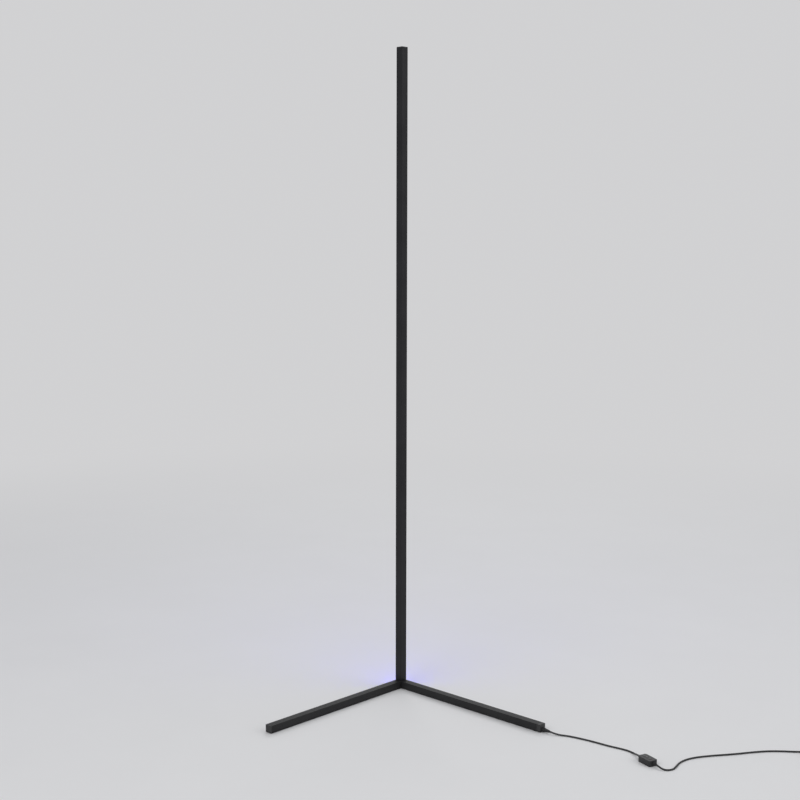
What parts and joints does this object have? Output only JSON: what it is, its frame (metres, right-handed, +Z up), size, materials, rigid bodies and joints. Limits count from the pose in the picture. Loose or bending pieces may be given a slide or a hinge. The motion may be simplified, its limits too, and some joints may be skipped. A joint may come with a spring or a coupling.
{
  "type": "corner floor lamp",
  "caption": "Slim black upright light bar lit towards the wall, on two legs at a right angle, with lead, inline controller and plug-in adapter.",
  "frame": {"origin": "mast axis at floor level, the middle of the corner foot pad's underside", "axes": "+Z up along the mast, -Y towards the room between the two legs, +X to the right leg's side, the light faces +Y"},
  "size_m": [1.2171, 0.5086, 1.42],
  "materials": {
    "black_anodised": "satin black anodised extrusion",
    "milky_diffuser": "milky satin diffuser, lit violet-blue",
    "strip_white": "white flexible light strip",
    "chip_yellow": "light chips",
    "plain_steel": "zinc-plated steel",
    "connector_white": "white nylon connector",
    "dark_steel": "black oxide steel",
    "black_nylon": "fine-textured black nylon",
    "black_powder_coat": "fine matte black powder coat",
    "foot_rubber": "matte black rubber",
    "lead_black": "satin black soft sheath",
    "boot_black": "matte black moulded strain relief",
    "controller_black": "fine-textured black moulding",
    "circuit_board": "green solder mask",
    "chip_black": "black component moulding",
    "window_red": "dark red infrared window",
    "button_grey": "soft grey button",
    "tie_black": "black tie",
    "adapter_black": "fine-textured black moulding",
    "pin_nickel": "nickel-plated brass",
    "transformer_yellow": "yellow wound transformer",
    "capacitor_blue": "sleeved capacitor"
  },
  "bodies": {
    "lamp": {"mast_profile_lower": "black_anodised", "mast_profile_middle": "black_anodised", "mast_profile_upper": "black_anodised", "diffuser_lower": "milky_diffuser", "diffuser_middle": "milky_diffuser", "diffuser_upper": "milky_diffuser", "light_strip_lower": "strip_white", "light_strip_middle": "strip_white", "light_strip_upper": "strip_white", "light_chips_lower": "chip_yellow", "light_chips_middle": "chip_yellow", "light_chips_upper": "chip_yellow", "mast_joiner_lower": "plain_steel", "mast_joiner_upper": "plain_steel", "strip_link_lower": "connector_white", "strip_link_upper": "connector_white", "grub_screws": "dark_steel", "top_cap": "black_nylon", "corner_block": "black_nylon", "mast_post": "plain_steel", "post_screw": "plain_steel", "leg_tube_left": "black_powder_coat", "leg_tube_right": "black_powder_coat", "leg_screws": "plain_steel", "end_cap_left": "black_nylon", "end_cap_right": "black_nylon", "foot_pad_corner": "foot_rubber", "foot_pad_left": "foot_rubber", "foot_pad_right": "foot_rubber", "internal_lead": "lead_black", "lead_connector": "connector_white", "exit_boot": "boot_black", "lamp_lead": "lead_black", "controller_base": "controller_black", "controller_cover": "controller_black", "controller_board": "circuit_board", "controller_switches": "chip_black", "controller_parts": "chip_black", "receiver_window": "window_red", "controller_inlet_boot": "boot_black", "controller_outlet_boot": "boot_black", "supply_lead": "lead_black", "lead_coil": "lead_black", "coil_tie": "tie_black", "adapter_boot": "boot_black", "adapter_base": "adapter_black", "adapter_cover": "adapter_black", "plug_pins": "pin_nickel", "adapter_board": "circuit_board", "adapter_transformer": "transformer_yellow", "adapter_capacitor": "capacitor_blue"},
    "power_key": {"power_button": "button_grey"},
    "mode_key": {"mode_button": "button_grey"},
    "colour_key": {"colour_button": "button_grey"}
  },
  "joints": [
    {"name": "power_press", "type": "slide", "parent": "lamp", "child": "power_key", "axis": [0, 0, -1], "range_m": [0, 0.0005], "stiffness_N_per_m": 400},
    {"name": "mode_press", "type": "slide", "parent": "lamp", "child": "mode_key", "axis": [0, 0, -1], "range_m": [0, 0.0005], "stiffness_N_per_m": 400},
    {"name": "colour_press", "type": "slide", "parent": "lamp", "child": "colour_key", "axis": [0, 0, -1], "range_m": [0, 0.0005], "stiffness_N_per_m": 400}
  ]
}
